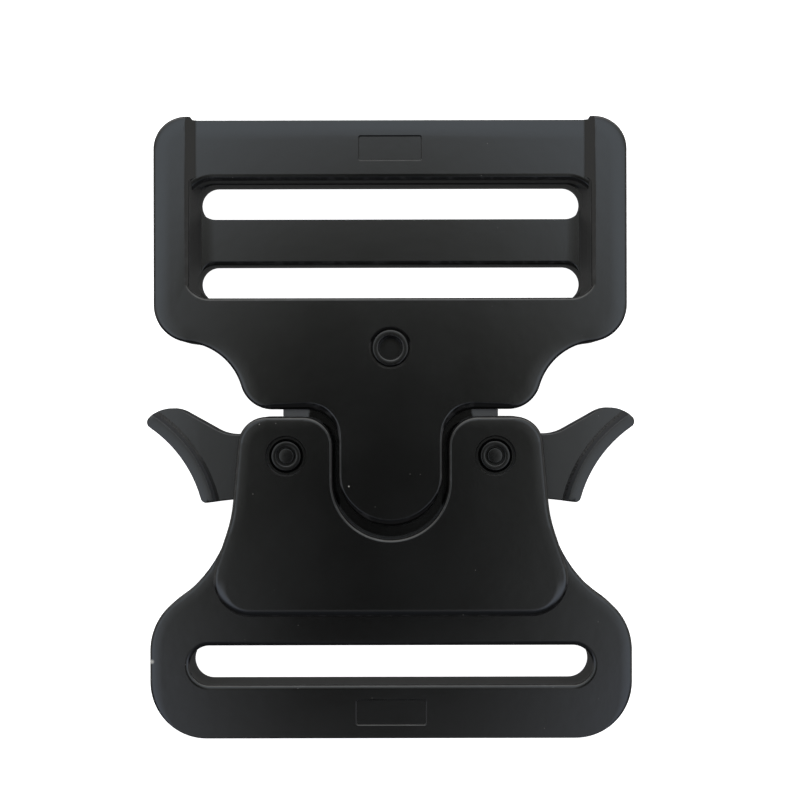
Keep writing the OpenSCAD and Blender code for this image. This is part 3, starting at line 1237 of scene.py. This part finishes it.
@dataclass
class LowerHalf:
    """Lower half: casting, cover and the two pivot rivets. Sizes in millimetres, tilts in degrees."""

    width: float = 59.5
    foot_r: float = 7.0
    hip_r: float = 7.5
    slot_y: float = -29.175
    slot_l: float = 49.7
    slot_h: float = 4.85
    back_r: float = 0.85
    side_edge_r: float = 0.3
    side_crown: float = 1.2
    crown_tilt: float = 1.7
    foot_edge_r: float = 0.1
    slot_edge_r: float = 0.3
    slot_crown: float = 0.5
    slot_tilt: float = 9.0
    cover_edge_r: float = 0.4
    cover_crown: float = 1.3
    cover_tilt: float = 0.8
    cover_foot_r: float = 0.3
    cover_foot_crown: float = 0.7
    cover_foot_tilt: float = 12.0
    lobe_tilt: float = 1.6
    lip_r: float = 3.6
    notch_edge_r: float = 0.38
    notch_w: float = 14.2
    notch_y: float = -6.4

    # Where the rounding of the front's edges changes: above the foot, under the cover, and on the cover
    FOOT_FADE = (-37.5, -33.0)
    UNDER_COVER = (-17.3, -15.7)
    COVER_MIDDLE = -17.0
    COVER_FOOT = (-22.5, -18.5)
    NOTCH_FADE = (7.8, 10.6)
    LOBE_FADE = (-6.0, -1.0)

    # Discs round the right half of the cavity, and at the cover's lower corner
    CAVITY = (Disc(12.4, -14.8, 4), Disc(16.4, 1.5))
    COVER_CORNER = Disc(17.1, -18.3, 4.6)

    # Half the width, the two ends and the levels of the room for the levers, and the same of the sunk panel
    SIDE_ROOM = (31.0, (-8.95, 3.0), (2.6, 9.0))
    PANEL = (4.4, -36.65, -33.35, 7.4)

    # Radius, height and rounding of each corner of the rivets and their seats
    SEAT = ((2.55, -1, 0), (2.55, 0, 0), (1.55, 1, 0), (1.55, 8.3, 0), (1.85, 8.6, 0), (2.1, 9, 0),
            (2.37, 9, 0), (2.37, 9.8, 0), (2.5, 10.004, 0), (2.5, 11, 0))
    RIVET = ((2.4, 0.1, 0.05), (1.5, 1, 0), (1.5, 8.3, 0), (1.8, 8.6, 0), (1.8, 9.6, 0.1), (1.22, 9.6, 0.08),
             (1.22, 8.3, 0), (0.98, 8.3, 0), (0.96, 9.1, 0.12), (0.05, 9.09, 0))

    def build(self, materials: Materials) -> None:
        """Builds and dresses the four pieces.

        Args:
            materials: The finishes.
        """
        self._casting().finish("base_casting", "base_frame", Body.BUCKLE, Slot.CASTING, materials)
        self._cover().finish("cover", "cover_plate", Body.BUCKLE, Slot.CASTING, materials)
        for side, rivet in zip(("right", "left"), at_pivots(self.RIVET)):
            name = f"pivot_tube_rivet_{side}"
            rivet.finish(name, f"pivot_rivet_{side}", Body.BUCKLE, Slot.RIVET, materials)

    def _casting(self) -> Solid:
        """Casting with its slot, its open cavity and the rivets' seats.

        Returns:
            The casting.
        """
        hip_x = self.width / 2 - self.hip_r
        drop = math.sqrt((self.hip_r - SIZES.waist.radius) ** 2 - (SIZES.waist.x - hip_x) ** 2)
        outline = [Disc(self.width / 2 - self.foot_r, self.foot_r - SIZES.top_y, self.foot_r),
                   Disc(hip_x, SIZES.waist.y - drop, self.hip_r), SIZES.waist, SIZES.lobe]
        front = Rim(SIZES.cover_z, self._along_side(self.foot_edge_r, self.side_edge_r),
                    self._along_side(0.0, self.side_crown), self.crown_tilt)
        mouth = Rim(SIZES.cover_z, self.slot_edge_r, self.slot_crown, self.slot_tilt, flared=True)
        return Solid.slab(mirrored(outline), Rim(0, self.back_r), front).cut(
            Solid.opening(stadium(self.slot_l, self.slot_h, self.slot_y), SIZES.slot_back, mouth),
            Solid.opening(mirrored([*self.CAVITY]), Rim(SIZES.cavity_z + Solid.PAST), Rim(SIZES.cover_z)),
            Solid.block(*self.SIDE_ROOM), Solid.panel(*self.PANEL), *at_pivots(self.SEAT))

    def _along_side(self, foot: float, side: float) -> Rule:
        """Rule for the casting's front edge, from its numbers at foot and sides: 0 under the cover."""
        return lambda p: blend(blend(foot, side, p.y, *self.FOOT_FADE), 0.0, p.y, *self.UNDER_COVER)

    def _cover(self) -> Solid:
        """Cover with its two lobes and the notch between them.

        Returns:
            The cover.
        """
        lip = Disc(self.notch_w / 2 + self.lip_r, SIZES.lobe_top - self.lip_r, self.lip_r)
        notch = Disc(0, self.notch_y, -self.notch_w / 2)
        outline = [self.COVER_CORNER, SIZES.waist, SIZES.lobe, lip, notch]
        radius = self._along_cover(self.cover_foot_r, self.cover_edge_r, self.notch_edge_r)
        crown = self._along_cover(self.cover_foot_crown, self.cover_crown, 0.0)
        front = Rim(SIZES.front_z, radius, crown, self._cover_tilt)
        return Solid.slab(mirrored(outline), Rim(SIZES.cover_z), front).cut(*at_pivots(self.SEAT))

    def _along_cover(self, foot: float, side: float, notch: float) -> Rule:
        """Rule for the cover's front edge, from its numbers along the bottom, on the sides and in the notch.

        Args:
            foot: Number along the bottom.
            side: Number on the sides.
            notch: Number in the notch.

        Returns:
            The rule.
        """

        def number(point: Vector) -> float:
            """The number at a point of the outline."""
            if point.y < self.COVER_MIDDLE:
                return blend(foot, side, point.y, *self.COVER_FOOT)
            return blend(notch, side, abs(point.x), *self.NOTCH_FADE)

        return number

    def _cover_tilt(self, point: Vector) -> float:
        """Lean of the crown in degrees: strong along the bottom, slight on the sides, more over the lobes.

        Args:
            point: Point of the outline.

        Returns:
            The lean.
        """
        if point.y < self.COVER_MIDDLE:
            return blend(self.cover_foot_tilt, self.cover_tilt, point.y, *self.COVER_FOOT)
        return blend(self.cover_tilt, self.lobe_tilt, point.y, *self.LOBE_FADE)


@dataclass
class Levers:
    """The two release levers. Sizes in millimetres: the outline from the pivot, the rest from the origin."""

    thumb: Disc = Disc(25.74, -9.46, -15.7)
    thumb_t: float = 1.42
    thumb_low: float = 2.0
    thumb_high: float = 8.0
    nose: Disc = Disc(14.3, 2.17, 3.7)
    tip_r: float = 0.8
    heel_y: float = -5.1
    heel_r: float = 0.7
    edge_r: float = 0.18
    thumb_edge_r: float = 0.25
    thumb_fall: float = 0.06
    steep_w: float = 0.34
    steep_h: float = 0.46
    slope_w: float = 1.24
    slope_h: float = 1.27
    knee_r: float = 0.5
    crest_r: float = 0.08
    bend_x: float = 22.0
    bend: float = 0.0035
    tooth_r: float = 10.45
    core_r: float = 0.5

    # Discs round the hook, from the pivot, and corners of the tooth, from the buckle's origin
    HOOK = (Disc(6.24, 7.63, -5), Disc(0, 0, 3.9), Disc(-1.2, -7.7, 2.2), Disc(1.1, -6.1), Disc(3.2, -5),
            Disc(6.4, -5.4))
    TOOTH = (Disc(6.5, -15.3), Disc(12.5, -15.3), Disc(12.5, -7.7), Disc(9.4, -6.4), Disc(6.5, -10.1))

    # Extent of the block that bends the plate, and steps of its bend
    BLOCK_X = 44.0
    BLOCK_Y = 40.0
    BLOCK_Z = 1.0
    BEND_STEPS = 16

    # Points round the thumb's turned block, and where its front ends, as a part of the thumb's thickness
    SIDES = 192
    FRONT_END = 1.2

    def build(self, materials: Materials) -> None:
        """Builds and dresses both levers."""
        right, left = self._lever(), self._lever().mirror()
        right.finish("release_lever_right", "lever_right", Body.RIGHT_LEVER, Slot.LEVER, materials)
        left.finish("release_lever_left", "lever_left", Body.LEFT_LEVER, Slot.LEVER, materials)

    def _outline(self) -> list[Disc]:
        """Discs of the lever's outline.

        Returns:
            The discs, in their order round the outline.
        """
        x, y = SIZES.pivot
        nose, thumb = self.nose, self.thumb
        tip_at = crossing(nose.centre, nose.radius - self.tip_r, thumb.centre, self.tip_r - thumb.radius)
        tip = Disc(tip_at.x, tip_at.y, self.tip_r)
        heel_x = thumb.x - math.sqrt((self.heel_r - thumb.radius) ** 2 - (thumb.y - self.heel_y) ** 2)
        heel = Disc(heel_x, self.heel_y, self.heel_r)
        return [Disc(disc.x + x, disc.y + y, disc.radius) for disc in (heel, thumb, tip, nose, *self.HOOK)]

    def _lever(self) -> Solid:
        """Right lever: the plate with its hook, and the wider thumb face that blends into the plate.

        Returns:
            The lever.
        """
        outline = self._outline()
        lever = Solid.slab(outline, Rim(SIZES.plate_low, self.edge_r), Rim(SIZES.plate_high, self.edge_r))
        lever.keep(self._bent())
        face_r = self.thumb_edge_r
        thumb = Solid.slab(outline, Rim(self.thumb_low, face_r), Rim(self.thumb_high, face_r))
        lever.join(thumb.keep(self._thumb_back()))
        tooth = Solid.slab([*self.TOOTH], *SIZES.plate)
        lever.join(tooth.keep(Solid.turned(through(self.tooth_r), SIZES.pivot)))
        return lever.cut(Solid.turned(through(SIZES.pin_r + SIZES.pin_gap), SIZES.pivot))

    def _bent(self) -> Solid:
        """Block under the plate's front, which bends back a little towards the thumb.

        Returns:
            The block.
        """
        top = SIZES.plate_high + Rim.HAIR
        end = self.BLOCK_X
        xs = [end - (end - self.bend_x) * i / self.BEND_STEPS for i in range(self.BEND_STEPS + 1)]
        front = [Disc(x, top - self.bend * (x - self.bend_x) ** 2 / 2) for x in xs]
        section = [Disc(0, self.BLOCK_Z), Disc(end, self.BLOCK_Z), *front, Disc(0, top)]
        return Solid.beam(section, False, -self.BLOCK_Y, self.BLOCK_Y)

    def _thumb_back(self) -> Solid:
        """Round block behind the thumb face: its back slopes to the plate and its front falls to the face.

        Returns:
            The block.
        """
        x, y = SIZES.pivot
        crest = self.thumb_t - self.thumb.radius
        turned = SIZES.plate_low + SIZES.plate_high
        slope = [(crest + self.slope_w, self.thumb_high - self.slope_h, 0),
                 (crest + self.steep_w, self.thumb_high - self.steep_h, self.knee_r),
                 (crest, self.thumb_high, self.crest_r)]
        front = [(crest - self.thumb_t * part, self.thumb_high - self.thumb_fall * part * part, 0)
                 for part in (*FIFTHS[1:], self.FRONT_END)]
        back = [(r, turned - z, rounding) for r, z, rounding in reversed(slope)]
        profile = [(self.core_r, self.thumb_low, 0), *back, *slope, *front, (self.core_r, front[-1][1], 0)]
        return Solid.turned(profile, (self.thumb.x + x, self.thumb.y + y), self.SIDES)


@dataclass
class Studio:
    """Floor, light and camera. Sizes in millimetres, angles in degrees."""

    floor_half: float = 2000.0
    camera_height: float = 240.0
    aim_x: float = 1.16
    aim_y: float = 3.53
    roll: float = -0.12
    sensor: float = 36.0
    view_width: float = 97.56
    view_level: float = 10.0
    clip: Pair = (1.0, 10000.0)
    floor_z: float = -0.02

    FLOOR = (0.9, 0.9, 0.9)
    FLOOR_ROUGHNESS = 0.9
    GLOW = (1, 1, 1)

    # Light from above, by the distance from where the camera hangs: reach, radiance and tint
    BRIGHTEST = 4.0
    RING_REACH = 0.6
    RINGS = (
        (0.0, 0.02, (1.03, 1.0, 0.88)), (0.1, 0.05, (1.03, 1.0, 0.86)), (0.14, 0.36, (1.02, 1.0, 0.86)),
        (0.18, 0.8, (1.0, 1.0, 0.92)), (0.22, 1.36, (0.96, 1.0, 1.03)), (0.26, 1.95, (0.9, 1.0, 1.1)),
        (0.34, 2.0, (0.9, 1.0, 1.1)), (0.48, 1.0, (0.95, 1.0, 1.03)), (0.6, 0.75, (1.0, 1.0, 0.98)),
    )
    NARROW = 0.7
    DARK_AT = (-0.0097, -0.0616)
    BELOW = (0.055, 0.055, 0.054)
    HORIZON = (-0.97, -0.05)

    # From the foot's side the light turns cool, dark, and a little lighter: tint or share, and over which -y
    COOL = (0.99, 1, 1.1)
    COOL_FADE = (0.1, 0.17)
    FRONT_DARK = 0.92
    FRONT_FADE = (0.205, 0.29)
    FRONT_BACK = 0.1
    BACK_FADE = (0.5, 0.7)

    # From the top's side comes more light, all over and as a window: how much, and over which y and z
    REAR = 2.2
    REAR_FADES = ((0.3, 0.6), (0.15, 0.45))
    WINDOW = 4.0
    WINDOW_FADES = ((0.7, 0.92), (-0.1, 0.05))

    def build(self) -> None:
        """Sets the whole studio up."""
        self._floor()
        self._surroundings()
        self._camera()
        bpy.context.scene.view_settings.view_transform = "Standard"

    def _floor(self) -> None:
        """Lays the white floor, which glows a little so that it stays white."""
        bpy.ops.object.select_all(action="DESELECT")
        bpy.ops.mesh.primitive_plane_add(size=2 * self.floor_half * MM, location=(0, 0, self.floor_z * MM))
        floor = bpy.context.object
        floor.name = "floor"
        material = bpy.data.materials.new("white_floor")
        material.use_nodes = True
        sheet = NodeSheet(material.node_tree)
        shader = sheet.node("ShaderNodeBsdfPrincipled", {}, {
            "Base Color": colour(*self.FLOOR),
            "Roughness": self.FLOOR_ROUGHNESS,
            "Emission Color": colour(*self.GLOW),
            "Emission Strength": 1.0,
        })
        sheet.node("ShaderNodeOutputMaterial", {}, {"Surface": shader.outputs["BSDF"]})
        floor.data.materials.append(material)
        floor.visible_glossy = False

    def _surroundings(self) -> None:
        """Lights the scene from all sides, with a dark patch overhead where the camera hangs."""
        world = bpy.data.worlds.new("studio")
        bpy.context.scene.world = world
        world.use_nodes = True
        sheet = NodeSheet(world.node_tree)
        x, y, z = sheet.parts(sheet.place("Generated"))
        front = -1 * y
        dark_x, dark_y = self.DARK_AT
        away = (((x - dark_x) / self.NARROW) ** 2.0 + (y - dark_y) ** 2.0) ** 0.5
        room = sheet.node("ShaderNodeValToRGB", {"stops": [
            (reach / self.RING_REACH, colour(*(radiance * part / self.BRIGHTEST for part in tint)))
            for reach, radiance, tint in self.RINGS
        ]}, {0: away / self.RING_REACH}).outputs[0]
        cool = sheet.mix(front.ramp(*self.COOL_FADE), room, colour(*self.COOL), blend_type="MULTIPLY")
        dark = self.FRONT_DARK * front.ramp(*self.FRONT_FADE)
        front_light = 1 - dark + self.FRONT_BACK * front.ramp(*self.BACK_FADE)
        rear, window = (amount * y.ramp(*along) * z.ramp(*over) for amount, (along, over) in (
            (self.REAR, self.REAR_FADES), (self.WINDOW, self.WINDOW_FADES)))
        above = z.ramp(*self.HORIZON)
        tint = sheet.mix(above, colour(*self.BELOW), cool)
        amount = above * (self.BRIGHTEST * front_light * (1 + rear) + window) + (1 - above)
        back = sheet.node("ShaderNodeBackground", {}, {"Color": tint, "Strength": amount})
        sheet.node("ShaderNodeOutputWorld", {}, {"Surface": back.outputs[0]})

    def _camera(self) -> None:
        """Hangs the camera straight above the buckle."""
        data = bpy.data.cameras.new("camera")
        data.sensor_width = self.sensor
        data.lens = self.sensor * (self.camera_height - self.view_level) / self.view_width
        data.clip_start, data.clip_end = (end * MM for end in self.clip)
        camera = bpy.data.objects.new("camera", data)
        bpy.context.scene.collection.objects.link(camera)
        camera.location = Vector((self.aim_x, self.aim_y, self.camera_height)) * MM
        camera.rotation_euler = (0.0, 0.0, math.radians(self.roll))
        bpy.context.scene.camera = camera


def main() -> None:
    """Builds the buckle's halves and levers and the studio, in that order."""
    logging.basicConfig(level=logging.INFO, format="%(name)s: %(message)s")
    log.info("dressing %d nodes", len(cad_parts))
    materials = {slot: finish.build() for slot, finish in FINISHES.items()}
    for part in (AdjusterHalf(), LowerHalf(), Levers()):
        part.build(materials)
    Studio().build()


if __name__ == "__main__":
    main()
